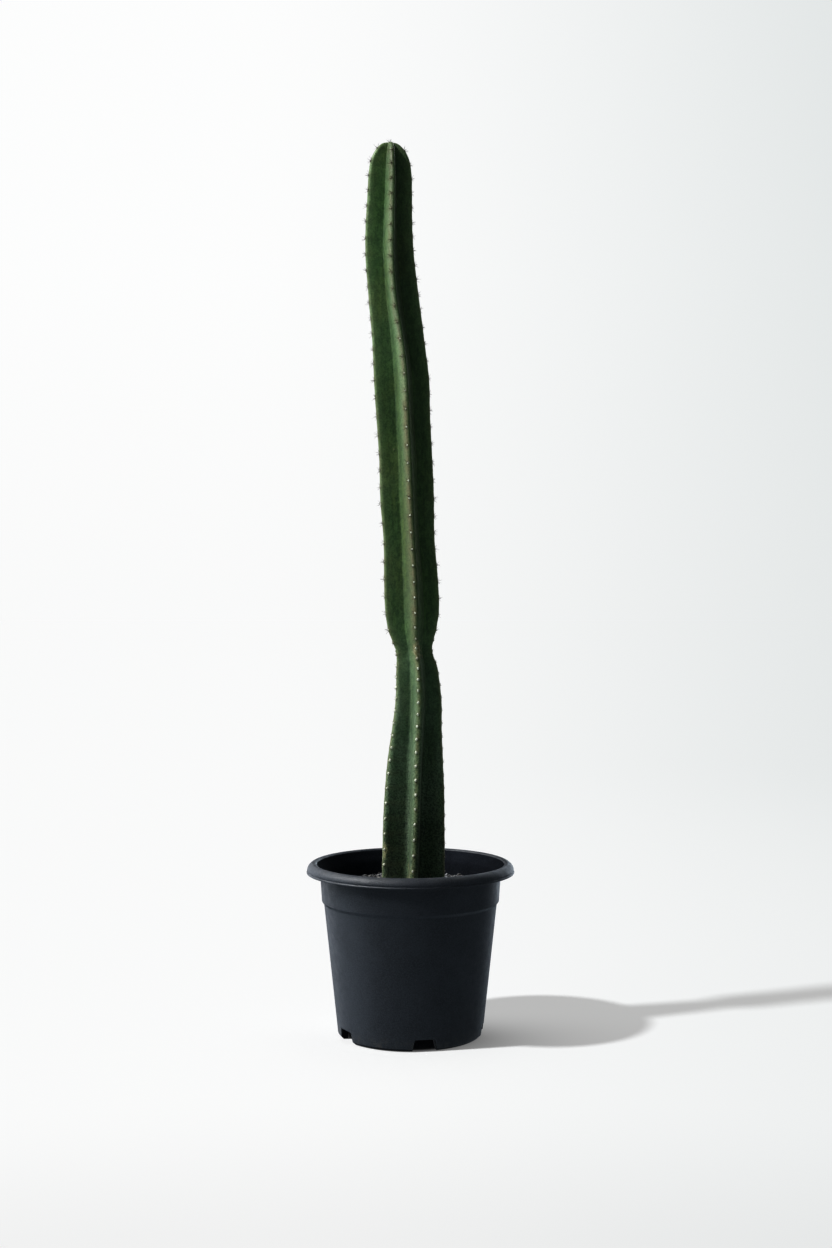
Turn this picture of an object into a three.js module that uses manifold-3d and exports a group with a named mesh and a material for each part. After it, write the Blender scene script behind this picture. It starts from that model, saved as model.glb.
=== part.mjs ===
// Potted columnar cactus: a five-ribbed stem with woolly areoles and short spines,
// standing in potting soil in a dark nursery pot with a rolled lip and drain notches.
// Millimetres, +Z up, origin at the centre of the pot's foot, front towards -Y.
import * as THREE from 'three';
import { mergeVertices } from 'three/addons/utils/BufferGeometryUtils.js';
import Module from 'manifold-3d';

const wasm = await Module();
wasm.setup();

// Driving sizes
const GAP = 0.3;                 // clearance between neighbouring pieces

// Pot
const POT_SEGMENTS = 48;
const WALL = 1.8;
const FOOT_INNER_R = 66.5;
const FOOT_OUTER_R = 70.6;
const BODY_FOOT_R = 73.6;        // just above the rounded bottom edge
const BODY_FOOT_Z = 2.6;
const BODY_TOP_R = 87.7;
const BODY_TOP_Z = 132.4;
const COLLAR_R = 89.9;           // the step that carries the collar
const COLLAR_Z = 135.2;
const COLLAR_TOP_R = 91.5;
const COLLAR_TOP_Z = 159;
const LIP_R = 105;
const LIP_SKIRT_Z = 163.6;
const LIP_TOP_Z = 173.5;
const FLOOR_UNDER_Z = 11.5;
const FLOOR_TOP_Z = 13.5;

// Drain notches through the foot ring, and the drain holes behind them
const NOTCH_COUNT = 5;
const NOTCH_FIRST_DEG = 11.5;    // turned from the front towards +X
const NOTCH_OUTSIDE = { r: 77, top: 22, bottom: 28, height: 12.5 };
const NOTCH_INSIDE = { r: 63.5, top: 17, bottom: 22.5, height: 9.2 };
const DRAIN_R = 5;
const DRAIN_CIRCLE_R = 55;

// Soil
const SOIL_Z = 148;
const SOIL_RELIEF = 1.6;

// Stem: five ribs, with a narrow neck where growth paused between two seasons
const RIBS = 5;
const STEM_ROOT_Z = 110;         // blunt end of the buried part
const STEM_SOIL_Z = 167;         // section stays the same from here down
const CREST_ROUND = 0.095;       // rounding of a rib's crest, as a share of its radius
const RING_STEP = 21;
const DOME_Z = [867, 879, 888, 894, 898, 902, 904.3, 905.3];
const APEX_Z = 905.6;

// Height, sideways place of the axis, radius to the rib crests,
// depth of the valleys as a share of that radius, and twist in degrees.
const STATIONS = [
  [167, 2.7, 32.8, 0.36, -0.5],
  [216, 2.9, 32.1, 0.37, 1.5],
  [247, 3.6, 31, 0.38, 1.5],
  [277, 4.4, 28.9, 0.44, 1.5],
  [308, 6, 26, 0.5, 2],
  [338, 7.4, 24, 0.57, 3.5],
  [369, 5.8, 21.9, 0.62, 7],
  [379, 4.5, 20.2, 0.64, 8],
  [388, 2.6, 19.1, 0.64, 8.5],
  [399, 1.3, 21.7, 0.65, 8.5],
  [409, 0.6, 25.1, 0.64, 8],
  [430, 0.2, 28.4, 0.6, 9],
  [460, -1, 28.5, 0.6, 9.5],
  [501, -2.9, 27.1, 0.57, 9.5],
  [542, -4.6, 28.4, 0.55, 8.5],
  [582, -5.9, 28.1, 0.57, 7.5],
  [623, -8.6, 28.3, 0.54, 9],
  [664, -10.6, 29.2, 0.54, 9.5],
  [705, -13.6, 27.4, 0.52, 7],
  [745, -17.2, 26.3, 0.5, 1.5],
  [786, -21.7, 25.5, 0.5, 5],
  [817, -22.9, 24.6, 0.46, 8],
  [847, -22.1, 23.5, 0.44, 8],
  [867, -21.7, 22.9, 0.41, 8],
  [879, -21.6, 21.7, 0.39, 8],
  [888, -21.5, 19.7, 0.38, 8],
  [894, -21.2, 17, 0.38, 8],
  [898, -21.1, 14.5, 0.4, 8],
  [902, -21.1, 10.9, 0.46, 8],
  [904.3, -21.1, 7.4, 0.59, 8],
  [905.3, -21.1, 3.8, 0.74, 8],
];

// Areoles of the front, right and left ribs: the height of every few, counted from the tip
const FRONT_ROW = [
  [1, 893.9], [2, 879.6], [3, 864.2], [5, 833.2], [10, 752.6], [15, 667.4], [20, 577.4],
  [25, 491.1], [30, 412.4], [32, 391.7], [35, 360.3], [40, 300.5], [45, 230.9], [49, 168.9],
];
const RIGHT_ROW = [
  [1, 896.7], [5, 837.9], [10, 764.8], [13, 717.1], [16, 665.4], [20, 598.4], [23, 542.6],
  [27, 475.6], [31, 409.6], [32, 399.5], [36, 354], [40, 302.4], [44, 249.8], [47, 208.3], [50, 165.9],
];
const LEFT_ROW = [
  [1, 898.4], [2, 884.8], [5, 839.1], [8, 789.6], [10, 757.3], [13, 708.8], [16, 662.3],
  [20, 588.6], [23, 537], [25, 497.6], [28, 444.1], [30, 409.7], [31, 396.5], [33, 373.2],
  [36, 339.9], [39, 303.5], [42, 265], [45, 219.5], [48, 172.9],
];
// Each rib's row, and how far it is shifted, in steps
const AREOLE_ROWS = [
  [FRONT_ROW, 0], [RIGHT_ROW, 0], [RIGHT_ROW, 0.5], [LEFT_ROW, 0.55], [LEFT_ROW, 0],
];
const SPINES = 4;
const SPINE_LENGTH = 3.9;
const AREOLE_R = 1.2;
const AREOLE_RISE = 0.25;        // rim of the woolly cushion above the crest
const AREOLE_ROOT = 3;
const SEED = 20;

// Small helpers
const rad = THREE.MathUtils.degToRad;

// A direction in plan, turned from the front (-Y) towards +X.
const turned = (deg) => [Math.sin(rad(deg)), -Math.cos(rad(deg))];

function seededRandom(seed) {
  let state = seed;
  return () => {
    state = (state * 1664525 + 1013904223) % 4294967296;
    return state / 4294967296;
  };
}

// Smooth curve through rows of [key, value, value, ...], read at one key.
function along(rows, key) {
  const last = rows.length - 1;
  if (key <= rows[0][0]) return rows[0].slice(1);
  if (key >= rows[last][0]) return rows[last].slice(1);
  let i = 0;
  while (rows[i + 1][0] < key) i += 1;
  const [a, b] = [rows[i], rows[i + 1]];
  const span = b[0] - a[0];
  const t = (key - a[0]) / span;
  const slope = (j, c) => {
    const [p, q] = [rows[Math.max(j - 1, 0)], rows[Math.min(j + 1, last)]];
    return (q[c] - p[c]) / (q[0] - p[0]);
  };
  return a.slice(1).map((_, k) => {
    const c = k + 1;
    return a[c] * (1 + 2 * t) * (1 - t) ** 2 + b[c] * t * t * (3 - 2 * t)
      + span * (slope(i, c) * t * (1 - t) ** 2 - slope(i + 1, c) * t * t * (1 - t));
  });
}

function geometryFrom(points, triangles) {
  const geometry = new THREE.BufferGeometry();
  geometry.setAttribute('position', new THREE.Float32BufferAttribute(points.flat(), 3));
  geometry.setIndex(triangles.flat());
  return geometry;
}

// Closed skin over rings of points, each ring anticlockwise seen from the last ring's end.
// The ends close on the given points.
function loft(rings, startPoint, endPoint) {
  const n = rings[0].length;
  const points = [...rings.flat(), startPoint, endPoint];
  const [start, end] = [points.length - 2, points.length - 1];
  const top = (rings.length - 1) * n;
  const triangles = [];
  for (let j = 0; j < n; j += 1) {
    const k = (j + 1) % n;
    triangles.push([start, k, j], [end, top + j, top + k]);
    for (let i = 0; i < rings.length - 1; i += 1) {
      const [a, b] = [i * n, (i + 1) * n];
      triangles.push([a + j, a + k, b + k], [a + j, b + k, b + j]);
    }
  }
  return geometryFrom(points, triangles);
}

function middle(ring) {
  return [0, 1, 2].map((c) => ring.reduce((sum, p) => sum + p[c], 0) / ring.length);
}

function lathe(profile, segments) {
  const points = profile.map(([r, z]) => new THREE.Vector2(r, z));
  return new THREE.LatheGeometry(points, segments).rotateX(Math.PI / 2);
}

function solidOf(geometry) {
  const bare = geometry.clone();
  bare.deleteAttribute('normal');
  bare.deleteAttribute('uv');
  const merged = mergeVertices(bare, 1e-4);
  const index = merged.index.array;
  const kept = [];
  for (let i = 0; i < index.length; i += 3) {
    const [a, b, c] = [index[i], index[i + 1], index[i + 2]];
    if (a !== b && b !== c && a !== c) kept.push(a, b, c);
  }
  return new wasm.Manifold(new wasm.Mesh({
    numProp: 3,
    vertProperties: new Float32Array(merged.attributes.position.array),
    triVerts: new Uint32Array(kept),
  }));
}

function geometryOf(solid) {
  const mesh = solid.getMesh();
  const geometry = new THREE.BufferGeometry();
  geometry.setAttribute('position', new THREE.BufferAttribute(mesh.vertProperties, 3));
  geometry.setIndex(new THREE.BufferAttribute(mesh.triVerts, 1));
  return geometry;
}

// Pot
// Inside of the wall, from the floor up to the collar.
const INNER_WALL = [
  [BODY_FOOT_R - WALL + 1.2, FLOOR_TOP_Z],
  [BODY_TOP_R - WALL, BODY_TOP_Z],
  [COLLAR_R - WALL, COLLAR_Z],
  [COLLAR_TOP_R - WALL, COLLAR_TOP_Z],
];

function potBody() {
  const lipOver = [
    [LIP_R, LIP_SKIRT_Z], [LIP_R, 167.8], [104.1, 170.9], [101.8, 172.9], [98.6, LIP_TOP_Z],
    [95.3, 172.5], [92.6, 169.7], [90.8, 165.5],
  ];
  const lipUnder = [[92.5, 165.2], [94.5, 169.2], [98.6, LIP_TOP_Z - WALL], [101.9, 170.2],
    [LIP_R - WALL, 167.4], [LIP_R - WALL, LIP_SKIRT_Z]];
  return lathe([
    [0, FLOOR_UNDER_Z],
    [FOOT_INNER_R - 2, FLOOR_UNDER_Z],
    [FOOT_INNER_R, FLOOR_UNDER_Z - 2],
    [FOOT_INNER_R, 0],
    [FOOT_OUTER_R, 0],
    [BODY_FOOT_R, BODY_FOOT_Z],
    [BODY_TOP_R, BODY_TOP_Z],
    [COLLAR_R, COLLAR_Z],
    [COLLAR_TOP_R, COLLAR_TOP_Z],
    ...lipUnder,
    ...lipOver,
    ...[...INNER_WALL].reverse(),
    [0, FLOOR_TOP_Z],
  ], POT_SEGMENTS);
}

// One side of a notch: a trapezoid standing on the ground, wider at its foot.
function notchSide({ r, top, bottom, height }, deg) {
  const [ox, oy] = turned(deg);
  const corners = [[-bottom / 2, -1], [bottom / 2, -1], [top / 2, height], [-top / 2, height]];
  return corners.map(([s, z]) => [ox * r - oy * s, oy * r + ox * s, z]);
}

function potNotch(deg) {
  const [inside, outside] = [notchSide(NOTCH_INSIDE, deg), notchSide(NOTCH_OUTSIDE, deg)];
  return loft([inside, outside], middle(inside), middle(outside));
}

function drainHole(deg) {
  const [ox, oy] = turned(deg);
  const height = FLOOR_TOP_Z - FLOOR_UNDER_Z + 4;
  return new THREE.CylinderGeometry(DRAIN_R, DRAIN_R, height, 16)
    .rotateX(Math.PI / 2)
    .translate(ox * DRAIN_CIRCLE_R, oy * DRAIN_CIRCLE_R, (FLOOR_TOP_Z + FLOOR_UNDER_Z) / 2);
}

function pot() {
  let solid = solidOf(potBody());
  for (let k = 0; k < NOTCH_COUNT; k += 1) {
    const deg = NOTCH_FIRST_DEG + (360 / NOTCH_COUNT) * k;
    solid = solid.subtract(solidOf(potNotch(deg))).subtract(solidOf(drainHole(deg)));
  }
  return geometryOf(solid);
}

// Stem
// Half of a rib at unit radius, from the valley to the crest: [along the rib, across it].
function ribHalf(valley) {
  const low = [valley * Math.cos(rad(36)), valley * Math.sin(rad(36))];
  const high = [1 - CREST_ROUND, CREST_ROUND];
  const mid = [(low[0] + high[0]) / 2, ((low[1] + high[1]) / 2) * 0.9];
  const shoulder = [1 - CREST_ROUND * 0.36, CREST_ROUND * 0.77];
  return [low, mid, high, shoulder, [1, 0]];
}

// The star-shaped section at one height, widened by a clearance for the socket in the soil.
function stemRing(z, clearance = 0, atZ = z) {
  const [axisX, radius, valley, twist] = along(STATIONS, atZ);
  const half = ribHalf(valley);
  const rib = [
    ...half.map(([u, w]) => [u, -w]),
    ...half.slice(1, -1).reverse(),
  ];
  const outline = [];
  for (let k = 0; k < RIBS; k += 1) {
    const [ox, oy] = turned(twist + (360 / RIBS) * k);
    for (const [u, w] of rib) outline.push([radius * (u * ox - w * oy), radius * (u * oy + w * ox)]);
  }
  const n = outline.length;
  return outline.map(([x, y], i) => {
    const [px, py] = outline[(i + n - 1) % n];
    const [qx, qy] = outline[(i + 1) % n];
    const side = (ax, ay, bx, by) => {
      const length = Math.hypot(bx - ax, by - ay);
      return [(by - ay) / length, -(bx - ax) / length];
    };
    const [[ax, ay], [bx, by]] = [side(px, py, x, y), side(x, y, qx, qy)];
    const mitre = clearance / (1 + ax * bx + ay * by);
    return [axisX + x + (ax + bx) * mitre, y + (ay + by) * mitre, z];
  });
}

function stemSkin() {
  const heights = [STEM_ROOT_Z];
  const domeStart = DOME_Z[0];
  const steps = Math.round((domeStart - SOIL_Z) / RING_STEP);
  for (let i = 0; i < steps; i += 1) heights.push(SOIL_Z + ((domeStart - SOIL_Z) * i) / steps);
  heights.push(...DOME_Z);
  const [rootX] = along(STATIONS, STEM_SOIL_Z);
  const [tipX] = along(STATIONS, APEX_Z);
  return loft(heights.map((z) => stemRing(z)), [rootX, 0, STEM_ROOT_Z], [tipX, 0, APEX_Z]);
}

// The point, the outward normal, the upward tangent and the sideways direction on a rib's crest.
function crestFrame(rib, z) {
  const at = (height) => {
    const [axisX, radius, , twist] = along(STATIONS, height);
    const [ox, oy] = turned(twist + (360 / RIBS) * rib);
    return new THREE.Vector3(axisX + radius * ox, radius * oy, height);
  };
  const here = at(z);
  const step = 0.4;
  const up = at(z + step).sub(at(z - step)).normalize();
  const [, , , twist] = along(STATIONS, z);
  const [ox, oy] = turned(twist + (360 / RIBS) * rib);
  const out = new THREE.Vector3(ox, oy, 0);
  out.addScaledVector(up, -out.dot(up)).normalize();
  return { here, out, up, side: new THREE.Vector3().crossVectors(up, out) };
}

// One areole: a small closed cushion, rooted at a point deep in the crest, whose top faces
// rise into spines.
function areole({ here, out, up, side }, random, scale = 1) {
  const place = (s, t, n) => here.clone()
    .addScaledVector(side, s).addScaledVector(up, t).addScaledVector(out, n).toArray();
  const turn = random() * Math.PI * 2;
  const points = [];
  for (let i = 0; i < SPINES; i += 1) {
    const a = turn + (i / SPINES) * Math.PI * 2;
    points.push(place(Math.cos(a) * AREOLE_R, Math.sin(a) * AREOLE_R, AREOLE_RISE));
  }
  const [root, hub] = [SPINES, SPINES + 1];
  points.push(place(0, 0, -AREOLE_ROOT), place(0, 0, AREOLE_RISE + 0.4));
  const triangles = [];
  for (let i = 0; i < SPINES; i += 1) {
    const j = (i + 1) % SPINES;
    const a = turn + ((i + 0.5 + (random() - 0.5) * 0.3) / SPINES) * Math.PI * 2;
    const reach = SPINE_LENGTH * scale * (0.75 + 0.5 * random());
    const rise = 0.35 + 0.45 * random();
    const [flat, lift] = [Math.cos(rise) * reach, Math.sin(rise) * reach + AREOLE_RISE];
    points.push(place(Math.cos(a) * flat, Math.sin(a) * flat, lift));
    const tip = points.length - 1;
    triangles.push([root, j, i], [i, j, tip], [j, hub, tip], [hub, i, tip]);
  }
  return geometryFrom(points, triangles);
}

function stem() {
  const random = seededRandom(SEED);
  let solid = solidOf(stemSkin());
  for (let rib = 0; rib < RIBS; rib += 1) {
    const [row, shift] = AREOLE_ROWS[rib];
    const [last] = row[row.length - 1];
    for (let i = 1; i + shift <= last; i += 1) {
      const [z] = along(row, i + shift);
      const scale = z > 400 ? 1 : 0.85;
      solid = solid.add(solidOf(areole(crestFrame(rib, z), random, scale)));
    }
  }
  const [tipX] = along(STATIONS, APEX_Z);
  const apex = {
    here: new THREE.Vector3(tipX, 0, APEX_Z - 0.2),
    out: new THREE.Vector3(0, 0, 1),
    up: new THREE.Vector3(0, 1, 0),
    side: new THREE.Vector3(1, 0, 0),
  };
  return geometryOf(solid.add(solidOf(areole(apex, random))));
}

// Soil
function soilRelief(x, y) {
  return SOIL_RELIEF * (0.5 * Math.sin(x * 0.21 + 1.3) * Math.cos(y * 0.17 - 0.4)
    + 0.3 * Math.sin(x * 0.43 - y * 0.31) + 0.25 * Math.cos(x * 0.29 + y * 0.52 + 2));
}

function soilBody() {
  const inset = (r) => r - GAP;
  const floorR = inset(INNER_WALL[0][0]);
  const [bodyR, bodyZ] = [inset(INNER_WALL[1][0]), BODY_TOP_Z - 0.1];
  const [collarR, collarZ] = [inset(INNER_WALL[2][0]), COLLAR_Z + 0.05];
  const rise = (SOIL_Z - COLLAR_Z) / (COLLAR_TOP_Z - COLLAR_Z);
  const edgeR = inset(INNER_WALL[2][0] + (INNER_WALL[3][0] - INNER_WALL[2][0]) * rise);
  const rings = [0.9, 0.76, 0.62, 0.48, 0.3].map((share) => [edgeR * share, SOIL_Z]);
  const geometry = lathe([
    [0, FLOOR_TOP_Z + GAP],
    [floorR, FLOOR_TOP_Z + GAP],
    [bodyR, bodyZ],
    [collarR, collarZ],
    [edgeR, SOIL_Z - 0.8],
    ...rings,
    [0, SOIL_Z],
  ], POT_SEGMENTS);
  const position = geometry.attributes.position;
  for (let i = 0; i < position.count; i += 1) {
    if (position.getZ(i) > SOIL_Z - 0.1) {
      position.setZ(i, SOIL_Z + soilRelief(position.getX(i), position.getY(i)));
    }
  }
  return geometry;
}

function soil() {
  const low = stemRing(STEM_ROOT_Z - GAP, GAP, STEM_SOIL_Z);
  const high = stemRing(SOIL_Z + 10, GAP, STEM_SOIL_Z);
  const socket = loft([low, high], middle(low), middle(high));
  return geometryOf(solidOf(soilBody()).subtract(solidOf(socket)));
}

// Assembly
function piece(name, geometry, color, roughness) {
  geometry.computeVertexNormals();
  const material = new THREE.MeshStandardMaterial({ color, roughness, metalness: 0 });
  const mesh = new THREE.Mesh(geometry, material);
  mesh.name = name;
  return mesh;
}

const plant = new THREE.Group();
plant.add(
  piece('pot', pot(), 0x24282c, 0.55),
  piece('soil', soil(), 0x3a3029, 0.95),
  piece('stem', stem(), 0x4f6b43, 0.6),
);

export default plant;
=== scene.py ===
"""Looks of a potted columnar cactus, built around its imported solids.

Forms are worked out in millimetres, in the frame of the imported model: origin in the middle
of the pot's foot, +Z up, front towards -Y. Meshes are made in metres.
"""
import math
import random

import bmesh
import bpy
import numpy as np
from mathutils import Matrix, Vector, noise


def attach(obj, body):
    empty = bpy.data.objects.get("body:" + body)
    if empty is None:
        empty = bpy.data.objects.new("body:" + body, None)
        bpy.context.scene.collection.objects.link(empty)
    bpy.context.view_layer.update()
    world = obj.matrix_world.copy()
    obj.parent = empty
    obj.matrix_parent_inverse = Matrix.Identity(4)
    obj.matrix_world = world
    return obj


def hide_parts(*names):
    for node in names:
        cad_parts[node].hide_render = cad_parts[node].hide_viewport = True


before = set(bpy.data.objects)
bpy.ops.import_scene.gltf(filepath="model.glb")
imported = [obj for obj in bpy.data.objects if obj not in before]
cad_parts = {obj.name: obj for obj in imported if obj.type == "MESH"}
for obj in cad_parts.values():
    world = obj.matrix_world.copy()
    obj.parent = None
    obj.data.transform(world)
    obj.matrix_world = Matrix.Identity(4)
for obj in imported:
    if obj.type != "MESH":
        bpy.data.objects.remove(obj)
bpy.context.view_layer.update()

MM = 0.001
BODY = "root"

# Sizes of the solids
POT_SEGMENTS = 256
POT_NOTCHES = 5
NOTCH_FIRST_DEG = 11.5
NOTCH_OUTSIDE = {"r": 77, "top": 22, "bottom": 28, "height": 12.5}
NOTCH_INSIDE = {"r": 63.5, "top": 17, "bottom": 22.5, "height": 9.2}
DRAIN_R = 5
DRAIN_CIRCLE_R = 55
FLOOR_Z = (11.5, 13.5)

SOIL_Z = 148
SOIL_RELIEF = 1.6
SOIL_EDGE_R = 88.65
SOIL_WALL = ((87.8, 135.2), (85.6, 132.3), (72.8, 13.8))    # radius and height, from the top
SOCKET_Z = 109.7
CRUMBS = 1500
CLEARANCE = 0.3

RIBS = 5
RIB_DEG = 360 / RIBS
ROOT_Z = 110
APEX_Z = 905.6
DOME_Z = (867, 905.3)
NECK_Z = 388
YOUNG_Z = 400                    # the younger joint starts here

# Height, sideways place of the axis, radius to the rib crests,
# depth of the valleys as a share of that radius, and twist in degrees.
STATIONS = [
    (167, 2.7, 32.8, 0.36, -0.5),
    (216, 2.9, 32.1, 0.37, 1.5),
    (247, 3.6, 31, 0.38, 1.5),
    (277, 4.4, 28.9, 0.44, 1.5),
    (308, 6, 26, 0.5, 2),
    (338, 7.4, 24, 0.57, 3.5),
    (369, 5.8, 21.9, 0.62, 7),
    (379, 4.5, 20.2, 0.64, 8),
    (388, 2.6, 19.1, 0.64, 8.5),
    (399, 1.3, 21.7, 0.65, 8.5),
    (409, 0.6, 25.1, 0.64, 8),
    (430, 0.2, 28.4, 0.6, 9),
    (460, -1, 28.5, 0.6, 9.5),
    (501, -2.9, 27.1, 0.57, 9.5),
    (542, -4.6, 28.4, 0.55, 8.5),
    (582, -5.9, 28.1, 0.57, 7.5),
    (623, -8.6, 28.3, 0.54, 9),
    (664, -10.6, 29.2, 0.54, 9.5),
    (705, -13.6, 27.4, 0.52, 7),
    (745, -17.2, 26.3, 0.5, 1.5),
    (786, -21.7, 25.5, 0.5, 5),
    (817, -22.9, 24.6, 0.46, 8),
    (847, -22.1, 23.5, 0.44, 8),
    (867, -21.7, 22.9, 0.41, 8),
    (879, -21.6, 21.7, 0.39, 8),
    (888, -21.5, 19.7, 0.38, 8),
    (894, -21.2, 17, 0.38, 8),
    (898, -21.1, 14.5, 0.4, 8),
    (902, -21.1, 10.9, 0.46, 8),
    (904.3, -21.1, 7.4, 0.59, 8),
    (905.3, -21.1, 3.8, 0.74, 8),
]

# Areoles of the front, right and left ribs: the height of every few, counted from the tip
FRONT_ROW = [
    (1, 893.9), (2, 879.6), (3, 864.2), (5, 833.2), (10, 752.6), (15, 667.4), (20, 577.4),
    (25, 491.1), (30, 412.4), (32, 391.7), (35, 360.3), (40, 300.5), (45, 230.9), (49, 168.9),
]
RIGHT_ROW = [
    (1, 896.7), (5, 837.9), (10, 764.8), (13, 717.1), (16, 665.4), (20, 598.4), (23, 542.6),
    (27, 475.6), (31, 409.6), (32, 399.5), (36, 354), (40, 302.4), (44, 249.8), (47, 208.3), (50, 165.9),
]
LEFT_ROW = [
    (1, 898.4), (2, 884.8), (5, 839.1), (8, 789.6), (10, 757.3), (13, 708.8), (16, 662.3),
    (20, 588.6), (23, 537), (25, 497.6), (28, 444.1), (30, 409.7), (31, 396.5), (33, 373.2),
    (36, 339.9), (39, 303.5), (42, 265), (45, 219.5), (48, 172.9),
]
# Each rib's row, and how far it is shifted, in steps
AREOLE_ROWS = [(FRONT_ROW, 0), (RIGHT_ROW, 0), (RIGHT_ROW, 0.5), (LEFT_ROW, 0.55), (LEFT_ROW, 0)]
MAIN_SPINES = 4
SPINE_LENGTH = 3.9
AREOLE_RISE = 0.25
SOLID_SEED = 20


# Small helpers
def turned(deg):
    """Directions in plan, turned from the front (-Y) towards +X."""
    a = np.radians(deg)
    return np.stack([np.sin(a), -np.cos(a)], -1)


def along(rows, keys):
    """Smooth curves through rows of (key, value, value, ...), read at many keys."""
    rows = np.array(rows, float)
    z, values = rows[:, 0], rows[:, 1:]
    keys = np.clip(np.asarray(keys, float), z[0], z[-1])
    last = len(z) - 1
    before = np.maximum(np.arange(last + 1) - 1, 0)
    after = np.minimum(np.arange(last + 1) + 1, last)
    slope = (values[after] - values[before]) / (z[after] - z[before])[:, None]
    i = np.clip(np.searchsorted(z, keys) - 1, 0, last - 1)
    span = (z[i + 1] - z[i])[..., None]
    t = (keys - z[i])[..., None] / span
    return (
        values[i] * (1 + 2 * t) * (1 - t) ** 2
        + values[i + 1] * t * t * (3 - 2 * t)
        + span * (slope[i] * t * (1 - t) ** 2 - slope[i + 1] * t * t * (1 - t))
    )


def smooth_line(knots, count, ends=True):
    """count points on a smooth curve through knots, closer together towards its ends.
    With ends False, the first and last knot only steer the curve."""
    knots = np.array(knots, float)
    chord = np.concatenate([[0], np.cumsum(np.linalg.norm(np.diff(knots, axis=0), axis=1))])
    start, stop = (chord[0], chord[-1]) if ends else (chord[1], chord[-2])
    share = 0.5 - 0.5 * np.cos(np.linspace(0, math.pi, count))
    return along(np.column_stack([chord, knots]), start + (stop - start) * share)


def solid_random(seed):
    """The draw that the solids use, so that the main spines stand where theirs do."""
    state = seed
    while True:
        state = (state * 1664525 + 1013904223) % 4294967296
        yield state / 4294967296


def bell(x, width):
    return np.exp(-((x / width) ** 2))


def step_up(x, low, high):
    t = np.clip((x - low) / (high - low), 0, 1)
    return t * t * (3 - 2 * t)


def rough(points, scale, octaves=3, seed=0.0):
    """Fractal noise, about -1 to 1, at each point, with features of about scale mm."""
    shift = Vector((seed * 17.3, seed * 5.9, -seed * 11.1))
    return np.array([
        noise.fractal(Vector(p) / scale + shift, 1.0, 2.0, octaves) for p in points
    ])


def normals_of(points, faces):
    mesh = bpy.data.meshes.new("scratch")
    mesh.from_pydata(points.tolist(), [], faces)
    found = np.zeros(len(points) * 3, np.float32)
    mesh.vertex_normals.foreach_get("vector", found)
    bpy.data.meshes.remove(mesh)
    return found.reshape(-1, 3).astype(float)


def sheet_faces(rows, columns, wrap=True, start=0):
    """Quads between rows of points, each row a ring if wrap."""
    across = columns if wrap else columns - 1
    faces = []
    for i in range(rows - 1):
        a, b = start + i * columns, start + (i + 1) * columns
        for j in range(across):
            k = (j + 1) % columns
            faces.append((a + j, a + k, b + k, b + j))
    return faces


def fan(ring, hub, flip=False):
    n = len(ring)
    return [
        (ring[(j + 1) % n], ring[j], hub) if flip else (ring[j], ring[(j + 1) % n], hub)
        for j in range(n)
    ]


def new_object(name, points, faces, materials=(), marks=None):
    mesh = bpy.data.meshes.new(name)
    mesh.from_pydata((np.asarray(points) * MM).tolist(), [], faces)
    mesh.shade_smooth()
    for key, values in (marks or {}).items():
        mesh.attributes.new(key, "FLOAT", "POINT").data.foreach_set(
            "value", np.asarray(values, np.float32)
        )
    for material in materials:
        mesh.materials.append(material)
    made = bpy.data.objects.new(name, mesh)
    bpy.context.scene.collection.objects.link(made)
    return made


def dress(piece, slot, *nodes):
    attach(piece, BODY)
    if nodes:
        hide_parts(*nodes)
    return piece


# Materials
def node(tree, kind, inputs=None, **settings):
    """A shader node with these settings, and a value or a link in each of these inputs."""
    made = tree.nodes.new("ShaderNode" + kind)
    for key, value in settings.items():
        setattr(made, key, value)
    for key, value in (inputs or {}).items():
        socket = made.inputs[key]
        if isinstance(value, bpy.types.NodeSocket):
            tree.links.new(value, socket)
        else:
            socket.default_value = (*value, 1.0) if socket.type == "RGBA" else value
    return made


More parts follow.
